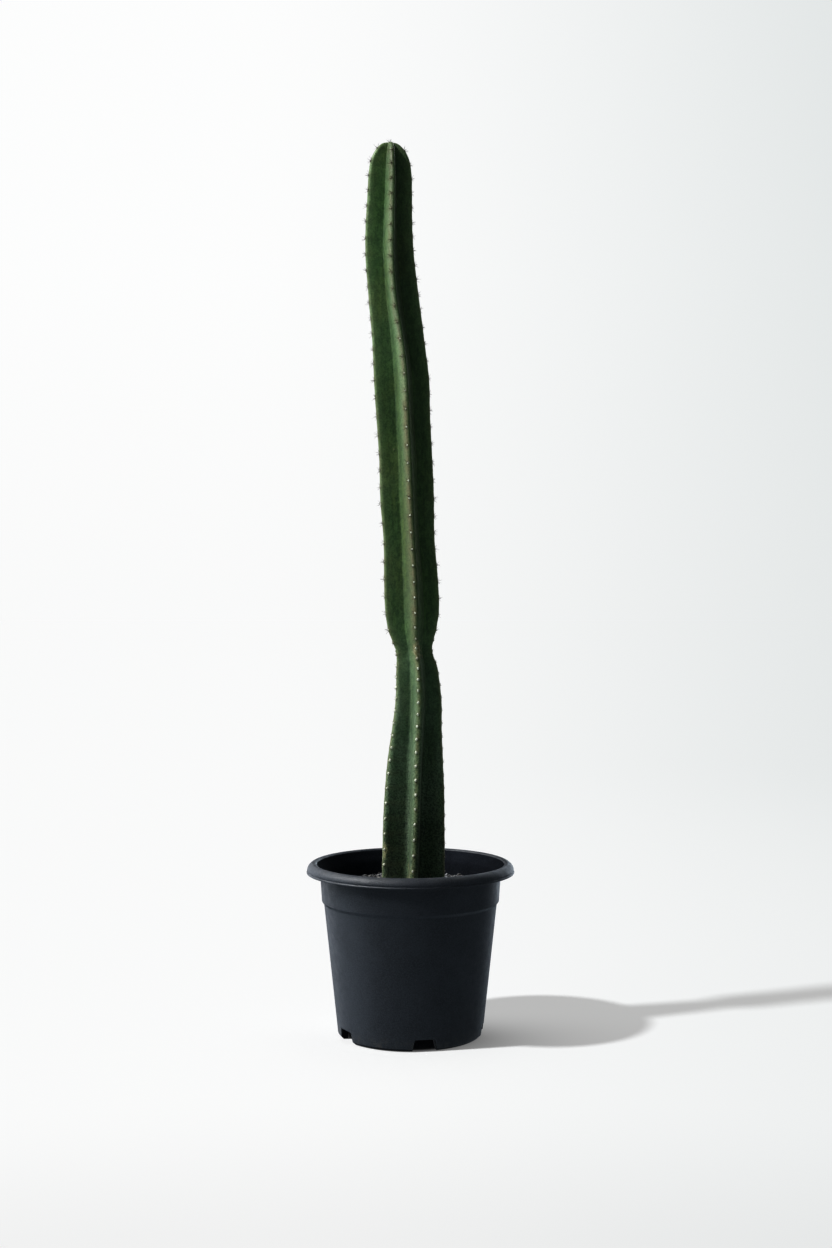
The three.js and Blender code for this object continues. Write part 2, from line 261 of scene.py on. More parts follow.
class Shade:
    """A material's node tree, with short names for the nodes that it uses over and over."""

    def __init__(self, name, **constants):
        self.material = bpy.data.materials.new(name)
        self.material.use_nodes = True
        self.tree = self.material.node_tree
        self.tree.nodes.clear()
        self.shader = self.node("BsdfPrincipled", constants)
        self.node("OutputMaterial", {"Surface": self.shader.outputs[0]})
        self.place = self.node("TexCoord").outputs["Object"]

    def node(self, kind, inputs=None, **settings):
        return node(self.tree, kind, inputs, **settings)

    def mark(self, name):
        return self.node("Attribute", attribute_name=name).outputs["Fac"]

    def noise(self, scale, detail=4.0, stretch=None, rough=0.5, distortion=0.0):
        place = self.place
        if stretch:
            place = self.node("Mapping", {"Vector": place, "Scale": stretch}).outputs[0]
        inputs = {"Vector": place, "Scale": scale, "Detail": detail}
        inputs.update({"Roughness": rough, "Distortion": distortion})
        return self.node("TexNoise", inputs).outputs["Fac"]

    def cells(self, scale):
        """Distance from the nearest of many scattered points."""
        return self.node("TexVoronoi", {"Vector": self.place, "Scale": scale}).outputs["Distance"]

    def ramp(self, value, low, high, to_low=0.0, to_high=1.0):
        """value from low to high becomes to_low to to_high, and stops there."""
        inputs = {"Value": value, "From Min": low, "From Max": high}
        inputs.update({"To Min": to_low, "To Max": to_high})
        return self.node("MapRange", inputs, interpolation_type="SMOOTHSTEP").outputs[0]

    def sum(self, a, b, operation="ADD"):
        return self.node("Math", {0: a, 1: b}, operation=operation).outputs[0]

    def times(self, a, b):
        return self.sum(a, b, "MULTIPLY")

    def vector(self, operation, inputs):
        made = self.node("VectorMath", inputs, operation=operation)
        return made.outputs["Value" if operation in ("LENGTH", "DOT_PRODUCT") else "Vector"]

    def part(self, vector, axis):
        """What a vector measures along X, Y or Z."""
        return self.node("SeparateXYZ", {0: vector}).outputs[axis]

    def mix(self, share, a, b, blend="MIX"):
        inputs = {0: share, 6: a, 7: b}
        return self.node("Mix", inputs, data_type="RGBA", blend_type=blend).outputs[2]

    def scaled(self, base, tint):
        return self.mix(1.0, base, tint, "MULTIPLY")

    def tinted(self, share, base, tint):
        return self.mix(share, base, self.scaled(base, tint))

    def frayed(self, name, reach, scale, detail, rough):
        """A mark whose edges are frayed by noise, up to reach."""
        edge = self.sum(self.noise(scale, detail, rough=rough), 0.5, "SUBTRACT")
        return self.sum(self.mark(name), self.times(edge, reach))

    def height(self):
        """Height above the ground, in metres."""
        return self.part(self.place, "Z")

    def normal(self):
        return self.node("NewGeometry").outputs["Normal"]

    def flat_place(self):
        """The place without its height: the way out from the upright axis."""
        return self.vector("MULTIPLY", {0: self.place, 1: (1, 1, 0)})

    def facing_in(self):
        """1 where a surface faces the upright axis, 0 where it faces away from it."""
        outward = self.vector("NORMALIZE", {0: self.flat_place()})
        facing = self.vector("DOT_PRODUCT", {0: self.normal(), 1: outward})
        return self.ramp(facing, -0.72, -0.86)

    def bump(self, height, strength, distance):
        inputs = {"Height": height, "Strength": strength, "Distance": distance}
        self.set(Normal=self.node("Bump", inputs).outputs[0])

    def set(self, **sockets):
        for key, value in sockets.items():
            self.tree.links.new(value, self.shader.inputs[key.replace("_", " ")])
        return self.material


def skin_material():
    """Waxy green skin, cloudy and streaked, with paler crests that are partly painted light,
    painted light and shade round the lit strip, stippling low on the stem, and yellowed,
    scuffed, freckled and corky places."""
    s = Shade("cactus_skin", **{
        "Specular IOR Level": 0.42, "Sheen Weight": 0.10, "Sheen Roughness": 0.55,
        "Sheen Tint": (1.0, 0.95, 0.9),
    })
    z = s.height()
    young, old = (0.098, 0.178, 0.064), (0.098, 0.168, 0.088)
    base = s.mix(s.ramp(z, 0.36, 0.42), old, young)
    broad = s.noise(22, 5, stretch=(1, 1, 0.35))
    base = s.tinted(s.ramp(broad, 0.30, 0.72), base, (0.66, 0.75, 0.70))
    # brownish clouds and runs
    clouds = s.ramp(s.noise(34, 5, stretch=(1, 1, 0.30), rough=0.6), 0.46, 0.68)
    clouds = s.times(clouds, s.ramp(z, 0.36, 0.42, 0.4, 0.85))
    base = s.tinted(clouds, base, (1.25, 0.97, 0.88))
    streaks = s.noise(420, 4, stretch=(1, 1, 0.05), rough=0.6)
    base = s.tinted(s.ramp(streaks, 0.35, 0.7, 0.0, 0.6), base, (0.58, 0.70, 0.62))
    mottle = s.ramp(s.noise(210, 5, stretch=(1, 1, 0.55), rough=0.7), 0.42, 0.58)
    pale, dark = s.scaled(base, (1.28, 1.20, 1.20)), s.scaled(base, (0.74, 0.80, 0.76))
    base = s.mix(mottle, pale, dark)
    # waxy bloom, strongest on the older joint
    bloom = s.ramp(s.noise(60, 5, stretch=(1, 1, 0.4)), 0.35, 0.7, 0.2, 0.8)
    bloom = s.times(s.ramp(z, 0.46, 0.30, 0.15, 0.75), bloom)
    base = s.mix(bloom, base, (0.165, 0.212, 0.158))
    # crests: paler and more olive, partly their own colour and partly painted light, set towards the sun
    # on the front one; drier along the front one, with a brown tinge in places
    crest, high = s.mark("crest"), s.ramp(z, 0.56, 0.72)
    olive = s.mix(high, (0.218, 0.268, 0.145), (0.265, 0.345, 0.195))
    base = s.mix(s.times(crest, 0.85), base, olive)
    paler = s.mix(s.ramp(z, 0.66, 0.50), (1.26, 1.27, 1.42), (1.26, 1.22, 1.20))
    # painted light: the front rib's sunlit left flank painted paler and greyer
    base = s.tinted(s.times(s.mark("flank"), 0.9), base, paler)
    dry = s.mix(high, (0.235, 0.205, 0.115), (0.230, 0.258, 0.170))
    ridge = s.times(s.mark("ridge"), s.ramp(s.noise(120, 4), 0.32, 0.62, 0.25, 0.85))
    # painted light and shade: the level mark paints the lit strip and the faces beside it lighter or
    # darker
    base = s.scaled(s.mix(ridge, base, dry), s.mark("level"))
    tinge = s.times(s.ramp(crest, 0.45, 1.0), s.ramp(s.noise(85, 4), 0.42, 0.62))
    base = s.mix(s.times(tinge, 0.45), base, (0.185, 0.160, 0.085))
    # fine pale and dark stippling, mostly low on the stem
    low, grit = s.ramp(z, 0.38, 0.20, 0.34, 0.90), s.noise(620, 2, rough=0.6)
    base = s.tinted(s.times(s.ramp(grit, 0.49, 0.57), low), base, (0.28, 0.36, 0.32))
    light = s.times(s.ramp(grit, 0.47, 0.40), s.times(low, 0.7))
    base = s.tinted(light, base, (1.28, 1.24, 1.34))
    dots = s.times(s.ramp(s.cells(900), 0.20, 0.09), low)
    dots = s.times(dots, s.ramp(s.noise(45, 3), 0.38, 0.60))
    base = s.mix(dots, base, (0.36, 0.38, 0.25))
    # ring of older skin round each areole
    base = s.mix(s.times(s.mark("halo"), 0.5), base, (0.15, 0.145, 0.080))
    # yellowed and scuffed skin, and freckles round the neck
    gritty = s.ramp(grit, 0.4, 0.6)
    yellowed = s.mix(gritty, (0.34, 0.33, 0.19), (0.16, 0.17, 0.10))
    base = s.mix(s.ramp(s.frayed("stain", 1.2, 330, 5, 0.75), 0.34, 0.60), base, yellowed)
    scuffed = s.mix(gritty, (0.40, 0.42, 0.30), (0.24, 0.27, 0.17))
    base = s.mix(s.ramp(s.frayed("pale", 0.9, 420, 4, 0.7), 0.38, 0.62), base, scuffed)
    freckles = s.sum(s.times(s.mark("freckles"), 0.27), s.noise(540, 3, rough=0.7))
    base = s.mix(s.ramp(freckles, 0.80, 0.88), base, (0.36, 0.32, 0.19))
    # dry cork over old wounds
    cork = s.ramp(s.frayed("cork", 1.1, 260, 6, 0.7), 0.42, 0.62)
    bark = s.ramp(s.noise(420, 5, rough=0.65), 0.3, 0.7)
    base = s.mix(cork, base, s.mix(bark, (0.19, 0.172, 0.088), (0.40, 0.385, 0.25)))
    grain = s.sum(s.times(s.noise(1500, 3), 0.4), s.times(streaks, 0.35))
    coarse = s.times(s.sum(cork, s.times(low, 0.25)), s.times(s.noise(700, 5, rough=0.7), 1.6))
    s.bump(s.sum(grain, coarse), 0.4, 0.0006)
    gloss = s.ramp(s.noise(130, 4), 0.3, 0.7, 0.42, 0.58)
    return s.set(Base_Color=base, Roughness=s.sum(gloss, s.times(cork, 0.32)))


def wool_material():
    s = Shade("areole_wool", **{"Roughness": 0.95, "Specular IOR Level": 0.15, "Sheen Weight": 0.3})
    age = s.mark("age")
    tone = s.mix(s.ramp(age, 0.05, 0.45), (0.15, 0.115, 0.070), (0.44, 0.42, 0.32))
    tone = s.mix(s.ramp(age, 0.45, 0.85), tone, (0.94, 0.95, 0.84))
    tone = s.tinted(s.ramp(s.noise(1300, 4), 0.40, 0.75), tone, (0.66, 0.64, 0.55))
    s.bump(s.noise(3000, 3), 0.4, 0.0004)
    return s.set(Base_Color=tone)


def spine_material():
    s = Shade("spines", **{"Specular IOR Level": 0.4})
    reach = s.mark("reach")
    tone = s.mix(s.ramp(reach, 0.0, 0.35), (0.17, 0.138, 0.090), (0.080, 0.062, 0.042))
    tone = s.mix(s.ramp(reach, 0.72, 1.0), tone, (0.045, 0.03, 0.022))
    grain = s.noise(2500, 3, stretch=(1, 1, 0.4))
    tone = s.tinted(s.ramp(grain, 0.3, 0.7, 0.0, 0.6), tone, (0.55, 0.5, 0.45))
    return s.set(Base_Color=tone, Roughness=s.ramp(grain, 0.3, 0.7, 0.45, 0.65))


def plastic_material():
    """Dark speckled plastic: dusty ledges, rubbed sides, a soiled foot with painted shade on its right,
    and a dull inside; painted shade inside, under the foot and in its notches.
    """
    s = Shade("pot_plastic")
    z = s.height()
    cloud = s.ramp(s.noise(28, 5), 0.36, 0.64)
    base = s.mix(cloud, (0.0245, 0.0280, 0.0340), (0.0335, 0.0380, 0.0455))
    grain = s.noise(900, 3, rough=0.7)
    base = s.mix(s.ramp(grain, 0.42, 0.64, 0.0, 0.72), base, (0.051, 0.057, 0.066))
    base = s.mix(s.ramp(grain, 0.46, 0.34, 0.0, 0.5), base, (0.016, 0.019, 0.024))
    # dust on ledges, rubbed marks down the sides, a few pale specks
    dust = s.ramp(s.noise(75, 6, rough=0.65), 0.40, 0.72, 0.0, 0.42)
    dust = s.times(s.ramp(s.part(s.normal(), "Z"), 0.35, 0.95), dust)
    base = s.mix(dust, base, (0.112, 0.112, 0.108))
    rubbed = s.noise(90, 6, stretch=(1, 1, 0.12), rough=0.7, distortion=0.4)
    rubbed = s.ramp(rubbed, 0.60, 0.74)
    base = s.mix(s.times(rubbed, 0.30), base, (0.066, 0.071, 0.078))
    specks = s.times(s.ramp(s.cells(230), 0.075, 0.045), s.ramp(s.noise(60, 2), 0.52, 0.60))
    base = s.mix(s.times(specks, 0.7), base, (0.20, 0.19, 0.165))
    foot = s.times(s.ramp(z, 0.016, 0.001), s.ramp(s.noise(160, 6, rough=0.7), 0.45, 0.62))
    base = s.mix(s.times(foot, 0.5), base, (0.095, 0.086, 0.072))
    # painted shade: the foot darkened low on the right, on the side of the floor's shadow
    painted_shade_right = s.times(s.ramp(z, 0.075, 0.005), s.ramp(s.part(s.place, "X"), 0.015, 0.070))
    base = s.mix(s.times(painted_shade_right, 0.55), base, (0.010, 0.012, 0.014))
    # the inside, dulled by watering and darkened with painted shade, and painted shade, near black, under
    # the foot and in its notches
    inside = s.facing_in()
    base = s.tinted(inside, base, (0.44, 0.46, 0.50))
    radius = s.vector("LENGTH", {0: s.flat_place()})
    under = s.times(s.ramp(radius, 0.0738, 0.0728), s.ramp(z, 0.0135, 0.0120))
    base = s.mix(under, base, (0.004, 0.004, 0.005))
    s.bump(s.sum(s.times(grain, 0.55), s.times(s.noise(420, 4), 0.45)), 0.22, 0.0004)
    lip = s.ramp(z, 0.1625, 0.1645)
    duller = s.sum(s.times(dust, 0.35), s.times(rubbed, 0.0875))
    duller = s.sum(duller, s.sum(s.times(inside, 0.45), s.times(lip, 0.04)))
    rough_level = s.sum(s.ramp(s.noise(140, 5), 0.3, 0.7, 0.44, 0.56), duller)
    specular = s.ramp(s.sum(inside, under), 0.0, 1.0, 1.0, 0.15)
    specular = s.times(s.ramp(lip, 0.0, 1.0, 0.5, 0.45), specular)
    return s.set(Base_Color=base, Roughness=rough_level, Specular_IOR_Level=specular)


def soil_material():
    s = Shade("potting_soil", **{"Specular IOR Level": 0.25})
    broad = s.ramp(s.noise(160, 8, rough=0.68), 0.32, 0.68)
    tone = s.mix(broad, (0.030, 0.030, 0.031), (0.130, 0.133, 0.138))
    tone = s.mix(s.ramp(s.noise(700, 5, rough=0.7), 0.48, 0.66, 0.0, 0.85), tone, (0.310, 0.318, 0.332))
    pale = s.times(s.ramp(s.cells(420), 0.17, 0.10), s.ramp(s.noise(300, 2), 0.50, 0.58))
    tone = s.mix(s.times(pale, 0.8), tone, (0.42, 0.40, 0.36))
    s.bump(s.noise(900, 8, rough=0.75), 0.7, 0.0012)
    return s.set(Base_Color=tone, Roughness=s.ramp(s.noise(500, 4), 0.3, 0.7, 0.82, 1.0))


def crumb_material():
    s = Shade("soil_crumbs", **{"Specular IOR Level": 0.25})
    kind = s.mark("tone")
    tone = s.mix(s.ramp(kind, 0.0, 0.55), (0.034, 0.033, 0.033), (0.145, 0.145, 0.146))
    tone = s.mix(s.ramp(kind, 0.55, 0.86), tone, (0.330, 0.336, 0.344))
    tone = s.mix(s.ramp(kind, 0.90, 0.94), tone, (0.52, 0.50, 0.46))
    grain = s.noise(1500, 6, rough=0.7)
    tone = s.tinted(s.ramp(grain, 0.3, 0.7), tone, (0.52, 0.5, 0.48))
    s.bump(grain, 0.6, 0.0006)
    return s.set(Base_Color=tone, Roughness=s.ramp(grain, 0.3, 0.7, 0.8, 1.0))


# Stem
GROOVE_POINTS = 5
FLANK_POINTS = 4
CREST_POINTS = 7
HALF_POINTS = GROOVE_POINTS + FLANK_POINTS + CREST_POINTS
RIB_POINTS = 2 * HALF_POINTS - 2

# Height, rounding of the crests, rounding of the grooves between the ribs
ROUNDINGS = [
    (160, 4.3, 4.5), (200, 4.2, 4.5), (250, 4.3, 4.0), (300, 4.9, 3.0), (350, 4.4, 3.2),
    (385, 2.5, 1.5), (430, 2.7, 1.6), (500, 2.9, 1.5), (560, 3.1, 1.6), (680, 2.6, 1.0),
    (740, 2.8, 1.6), (800, 2.3, 1.0), (870, 2.6, 0.6), (906, 2.8, 0.5),
]


def half_rib(radius, valley, z):
    """Half of a rib's section, from the valley to the crest, in mm: along the rib, across it.
    A round crest runs into a flank, and the flank into a rounded groove."""
    crest_r, groove_r = along(ROUNDINGS, z)
    crest_r = min(crest_r, 0.20 * radius)
    groove_r = min(groove_r, 0.34 * radius)
    tilt = math.radians(RIB_DEG / 2)
    crest_at = np.array([radius - crest_r, 0.0])
    groove_at = (valley * radius + groove_r) * np.array([math.cos(tilt), math.sin(tilt)])
    way = groove_at - crest_at
    apart = np.linalg.norm(way)
    lean = math.atan2(way[1], way[0]) - math.acos(min(1.0, (crest_r + groove_r) / apart))
    groove = np.linspace(math.pi + tilt, math.pi + lean, GROOVE_POINTS)
    crest = np.linspace(lean, 0, CREST_POINTS)
    low = groove_at + groove_r * np.column_stack([np.cos(groove), np.sin(groove)])
    high = crest_at + crest_r * np.column_stack([np.cos(crest), np.sin(crest)])
    share = np.linspace(0, 1, FLANK_POINTS + 2)[1:-1, None]
    return np.concatenate([low, low[-1] + (high[0] - low[-1]) * share, high])


# Height, and how far the front rib leans to the right there, in mm
LEAN = [
    (150, 0.9), (200, 1.9), (245, 2.4), (300, 1.7), (345, 0.6), (378, 0.6), (399, 2.2),
    (440, 1.9), (520, 1.6), (640, 1.9), (745, 1.2), (800, 1.7), (860, 1.5), (906, 0.8),
]
LEANING = {0: (0.5, 0.5, 1), 1: (0.5, -0.5, -1), 4: (0.5, -0.5, 1)}


def lean_weight(rib, share, side):
    """How much a point leans: from 1 on the front rib's crest to 0 on its neighbours'."""
    if rib not in LEANING:
        return np.zeros(len(share))
    level, slope, facing = LEANING[rib]
    return np.where((rib == 0) | (side * facing > 0), level + slope * share, 0)


def stem_rings(heights):
    """Points in rings at these heights, and how far across its rib each is from the crest."""
    axis_x, radius, valley, twist = along(STATIONS, heights).T
    lean = along(LEAN, heights)[:, 0]
    points, across = [], []
    for z, ax, r, v, tw, aside in zip(heights, axis_x, radius, valley, twist, lean):
        half = half_rib(r, v, z)
        rib = np.concatenate([half * [1, -1], half[-2:0:-1]])
        share = np.linspace(0, 1, HALF_POINTS)
        share = np.concatenate([share, share[-2:0:-1]])
        # the first point lies in the valley, which belongs to both ribs
        side = np.where(np.arange(RIB_POINTS) < HALF_POINTS, -1, 1)
        for k in range(RIBS):
            ox, oy = turned(tw + RIB_DEG * k)
            x = ax + aside * lean_weight(k, share, side) + rib[:, 0] * ox - rib[:, 1] * oy
            y = rib[:, 0] * oy + rib[:, 1] * ox
            points.append(np.column_stack([x, y, np.full(RIB_POINTS, z)]))
            across.append(rib[:, 1])
    return np.concatenate(points), np.concatenate(across)


def crest_frame(rib, z):
    """The point, the outward, upward and sideways directions on a rib's crest."""
    def at(height):
        ax, r, _, tw = along(STATIONS, height)
        o = turned(tw + RIB_DEG * rib)
        return Vector((ax + r * o[0], r * o[1], height))
    up = (at(z + 0.4) - at(z - 0.4)).normalized()
    o = turned(along(STATIONS, z)[3] + RIB_DEG * rib)
    out = Vector((o[0], o[1], 0))
    out = (out - up * out.dot(up)).normalized()
    return at(z), out, up, up.cross(out)


def areole_places():
    """Each areole: rib, height, frame, and its main spines as (turn, reach, rise)."""
    draw = solid_random(SOLID_SEED)
    places = []

    def spines(scale):
        turn = next(draw) * math.tau
        rows = []
        for i in range(MAIN_SPINES):
            a = turn + (i + 0.5 + (next(draw) - 0.5) * 0.3) / MAIN_SPINES * math.tau
            reach = SPINE_LENGTH * scale * (0.75 + 0.5 * next(draw))
            rows.append((a, reach, 0.35 + 0.45 * next(draw)))
        return rows

    for rib in range(RIBS):
        row, shift = AREOLE_ROWS[rib]
        for i in range(1, int(row[-1][0] - shift) + 1):
            z = float(along(row, i + shift)[0])
            places.append((rib, z, crest_frame(rib, z), spines(1 if z > YOUNG_Z else 0.85)))
    tip_x = float(along(STATIONS, APEX_Z)[0])
    top = (Vector((tip_x, 0, APEX_Z - 0.2)), Vector((0, 0, 1)), Vector((0, 1, 0)), Vector((1, 0, 0)))
    places.append((None, APEX_Z, top, spines(1)))
    return places


def cork_share(points, rib, across):
    """Where old, dry skin shows: the base, the neck, and a few healed knocks."""
    x, y, z = points.T
    base = step_up(z, 176, 158) * 0.42
    neck = 0.36 * bell(z - 388, 4.5) * bell(across, 3.5)
    neck += np.where(rib == 0, 0.50 * bell(z - 393, 10) * bell(across + 0.4, 3.2), 0)
    neck += np.where(rib == 0, 0.44 * bell(z - 386, 17) * bell(across - 2.0, 5), 0)
    share = base + neck
    knocks = random.Random(7)
    for _ in range(26):
        k, at, side = knocks.randrange(RIBS), knocks.uniform(215, 880), knocks.uniform(-9, 9)
        tall, wide, strength = knocks.uniform(1.5, 6), knocks.uniform(0.7, 2.2), knocks.uniform(0.3, 0.62)
        share += np.where(rib == k, strength * bell(z - at, tall) * bell(across - side, wide), 0)
    return np.clip(share, 0, 1)


def stain_share(z, rib, across):
    """Where the skin has yellowed: low on the left rib's front face and on the front rib."""
    left = np.where(rib == 4, 0.90 * bell(z - 187, 10) * bell(across - 2.6, 1.8), 0)
    front = np.where(rib == 0, 0.46 * step_up(z, 192, 166) * bell(across + 5, 6.0), 0)
    return left + front


def pale_share(z, rib, across):
    """Where the skin is scuffed pale: the left rib's foot, and the neck."""
    foot = np.where(rib == 4, 0.98 * step_up(z, 206, 192) * bell(across + 1.2, 1.8), 0)
    patch = np.where(rib == 0, 0.78 * bell(z - 389, 2.2) * bell(across + 3.0, 1.2), 0)
    return foot + patch


def painted_shading_level(z, rib, across):
    """Painted light and shade: how much lighter or darker the skin is painted on the lit strip and on the
    faces beside it, against the rest.
    """
    left = np.interp(
        z, [170, 210, 250, 400, 430, 480, 520, 700, 790, 905],
        [0.6, 0.78, 1, 1, 0.82, 0.84, 1, 1, 1.28, 1.34],
    )
    right = np.interp(z, [380, 480, 620, 760, 905], [1, 0.84, 0.76, 0.66, 0.60])
    strip = np.interp(
        z, [180, 240, 340, 400, 430, 490, 560, 620, 700, 745, 800, 850, 885],
        [0.82, 1, 1.05, 0.90, 0.68, 0.70, 0.80, 0.98, 1, 0.90, 1, 0.95, 0.78],
    )
    on_left = np.where(rib == 4, step_up(across, -1, 4), 0)
    on_left = np.where(rib == 0, step_up(-across, 5, 9), on_left)
    on_right = np.where(rib == 1, step_up(-across, -2, 6), 0)
    on_right = np.where(rib == 0, step_up(across, 0.5, 3), on_right)
    on_strip = (rib == 0) * (1 - on_left) * (1 - on_right)
    return 1 + (left - 1) * on_left + (right - 1) * on_right + (strip - 1) * on_strip


def round_areoles(places, rib, across, z):
    """The ring of older skin round each areole, and the swelling under it, in mm."""
    halo, swell = np.zeros(len(z)), np.zeros(len(z))
    for k, at, _, _ in places:
        if k is None:
            continue
        mine = rib == k
        middle = 0
        if k == 0:
            middle = np.interp(at, [385, 440], [-0.6, -1.8])
        elif k == 4:
            middle = np.interp(at, [285, 350], [2.2, 0])
        gap = np.hypot(across[mine] - middle, z[mine] - at)
        halo[mine] = np.maximum(halo[mine], bell(gap, 2.6))
        swell[mine] += 0.12 * bell(z[mine] - at, 3.0) - 0.08 * bell(z[mine] - at - 7, 3.0)
    return halo, swell


def front_marks(z, rib, across, calm):
    """The crests' mark, partly painted light, set to the left on the front rib, towards the sun, with
    that rib's flank painted paler as painted light, its dry ridge, and the freckles, which are strongest
    on its right face."""
    front, levels = rib == 0, [350, 430, 700, 860]
    middle = np.where(front, np.interp(z, levels, [-0.8, -2.8, -2.4, -1.6]), 0)
    spread = np.where(front, np.interp(z, levels, [2.4, 3.6, 3.0, 2.5]), 2.6)
    outer = np.interp(z, [400, 600], [13.5, 8.5])
    flank = (front & (across < 0)) * step_up(-across, 2, 5)
    freckled = np.where(rib == 1, 0.6 * step_up(-across, -2, 2), 0.15)
    freckled = np.where(front, step_up(across, -3.5, -0.5), freckled)
    return {
        "crest": bell(across - middle, spread),
        "flank": flank * bell(np.maximum(0, -across - outer + 4), 2),
        "ridge": front * bell(across + 2.0, 1.5) * step_up(z, 395, 430) * calm,
        "freckles": freckled * np.maximum(bell(z - NECK_Z, 15), 0.35 * bell(z - 340, 30)),
    }


def stem_piece(places, material):
    dome = DOME_Z[0] + (DOME_Z[1] - DOME_Z[0]) * np.sin(np.linspace(0, math.pi / 2, 30))
    heights = np.concatenate([[ROOT_Z, 125, 140], np.arange(144, DOME_Z[0] - 1, 1.85), dome])
    points, across = stem_rings(heights)
    ring, count = RIBS * RIB_POINTS, len(points)
    root_x, tip_x = (float(along(STATIONS, z)[0]) for z in (ROOT_Z, APEX_Z))
    points = np.concatenate([points, [[root_x, 0, ROOT_Z], [tip_x, 0, APEX_Z]]])
    across = np.append(across, [0, 0])
    rib = np.tile(np.repeat(np.arange(RIBS), RIB_POINTS), len(heights))
    rib = np.append(rib, [0, 0])
    faces = sheet_faces(len(heights), ring)
    faces += fan(list(range(ring)), count, flip=True)
    faces += fan(list(range(count - ring, count)), count + 1)

    x, y, z = points.T
    calm = step_up(z, 903, 885)
    halo, swell = round_areoles(places, rib, across, z)
    cork = cork_share(points, rib, across)
    wrinkles = bell(z - 387, 8) * np.sin(z * 1.9 + 1.4 * np.sin(np.arctan2(y, x) * 3))
    fuller = np.where(rib == 1, 0.62, np.where(rib == 4, 0.14, 0))
    shift = (
        swell * bell(across, 3.0) * calm
        + 0.30 * rough(points * [1, 1, 0.4], 26, 2, 1) * calm
        + 0.10 * rough(points, 5, 3, 2) * calm
        + (0.14 + 0.24 * bell(across, 2.5)) * wrinkles
        + cork * 0.35 * rough(points, 1.6, 3, 3)
        + 0.58 * bell(z - 384, 12) * rough(points, 3.2, 3, 4)
        + fuller * bell(across, 5) * calm
    )
    points = points + normals_of(points, faces) * shift[:, None]
    points[:, 2] = np.clip(points[:, 2], ROOT_Z, APEX_Z)
    # the marks go by the places before the shift, as the relief does
    marks = {"halo": halo, "cork": cork, "level": painted_shading_level(z, rib, across)}
    marks["stain"] = stain_share(z, rib, across)
    marks["pale"] = pale_share(z, rib, across)
    marks.update(front_marks(z, rib, across, calm))
    return dress(new_object("cactus_stem", points, faces, [material], marks), "cactus_skin", "stem")


def seated(rib, z, frame_of):
    """An areole's frame, set round its crest: to the left on the front rib, and towards
    the front on the left rib's old part."""
    here, out, up, side = frame_of
    if rib not in (0, 4):
        return frame_of
    if rib == 0:
        degrees = -np.interp(z, [340, 385, 440, 880, 900], [21, 24, 42, 42, 0])
    else:
        degrees = np.interp(z, [285, 350], [40, 0])
    crest_r = min(float(along(ROUNDINGS, z)[0]), 0.20 * float(along(STATIONS, z)[1]))
    aside = float(along(LEAN, z)[0]) if rib == 0 else 0.0
    turn = Matrix.Rotation(math.radians(degrees), 3, up)
    return here + Vector((aside, 0, 0)) + (turn @ out - out) * crest_r, turn @ out, up, turn @ side


def placed(frame_of, s, t, n):
    here, out, up, side = frame_of
    return here + side * s + up * t + out * n


def age_at(z):
    """How far an areole's wool has bleached, from the tip down, and less in the neck."""
    levels = [330, 370, 380, 400, 412, 560, 700, 770, 900]
    return float(np.interp(z, levels, [1.0, 0.95, 0.62, 0.62, 0.92, 0.90, 0.66, 0.40, 0.12]))


def wool_piece(places, material):
    draw = random.Random(11)
    points, faces, age = [], [], []
    around, levels = 9, 5

    def pad(frame_of, radius, height, tone):
        start = len(points)
        lean = draw.uniform(-0.2, 0.2)
        for i in range(levels):
            polar = math.pi * (i + 0.7) / (levels + 0.4)
            for j in range(around):
                a = math.tau * j / around
                r = radius * math.sin(polar) * draw.uniform(0.86, 1.12)
                n = height * math.cos(polar) * draw.uniform(0.85, 1.15)
                points.append(placed(frame_of, math.cos(a) * r, math.sin(a) * r * 1.15 + lean, n))
        for n in (height, -height):
            points.append(placed(frame_of, 0, lean, n))
        top, bottom = len(points) - 2, len(points) - 1
        for i in range(levels - 1):
            a, b = start + i * around, start + (i + 1) * around
            for j in range(around):
                k = (j + 1) % around
                faces.append((a + k, a + j, b + j, b + k))
        faces.extend(fan(list(range(start, start + around)), top))
        faces.extend(fan(list(range(top - around, top)), bottom, flip=True))
        age.extend([tone] * (len(points) - start))

    def hair(frame_of, radius, height, tone):
        a, slope = draw.uniform(0, math.tau), draw.uniform(0.1, 1.25)
        foot = radius * draw.uniform(0.1, 0.95)
        length = draw.uniform(0.35, 0.95)
        lift = height * math.sqrt(max(0, 1 - (foot / radius) ** 2))
        base = Vector((math.cos(a) * foot, math.sin(a) * foot * 1.15, lift))
        way = Vector((math.cos(a) * math.sin(slope), math.sin(a) * math.sin(slope), math.cos(slope)))
        way = (way + Vector((draw.uniform(-0.4, 0.4), draw.uniform(-0.4, 0.4), 0))).normalized()
        one = way.orthogonal().normalized() * 0.075
        two = way.cross(one)
        start = len(points)
        for turn in range(3):
            c, d = math.cos(turn * math.tau / 3), math.sin(turn * math.tau / 3)
            points.append(placed(frame_of, *(base + one * c + two * d)))
        points.append(placed(frame_of, *(base + way * length)))
        faces.extend(fan([start, start + 1, start + 2], start + 3))
        faces.append((start + 2, start + 1, start))
        age.extend([tone] * 4)

    for rib, z, frame_of, _ in places:
        tone = min(1, max(0, age_at(z) + draw.uniform(-0.12, 0.12)))
        grown = draw.uniform(0.9, 1.15) * (1.32 if z < YOUNG_Z else 1.0)
        if rib is None:
            grown, tone = 1.9, 0.35
        wide = np.interp(z, [520, 760], [0.98, 0.72]) * grown
        high = np.interp(z, [400, 520, 760], [0.85, 0.74, 0.40]) * grown
        seat = seated(rib, z, frame_of)
        pad(seat, wide, high, tone)
        for _ in range(24):
            hair(seat, wide, high * 0.9, tone)
    piece = new_object("areole_wool", [tuple(p) for p in points], faces, [material], {"age": age})
    return dress(piece, "cactus_skin")


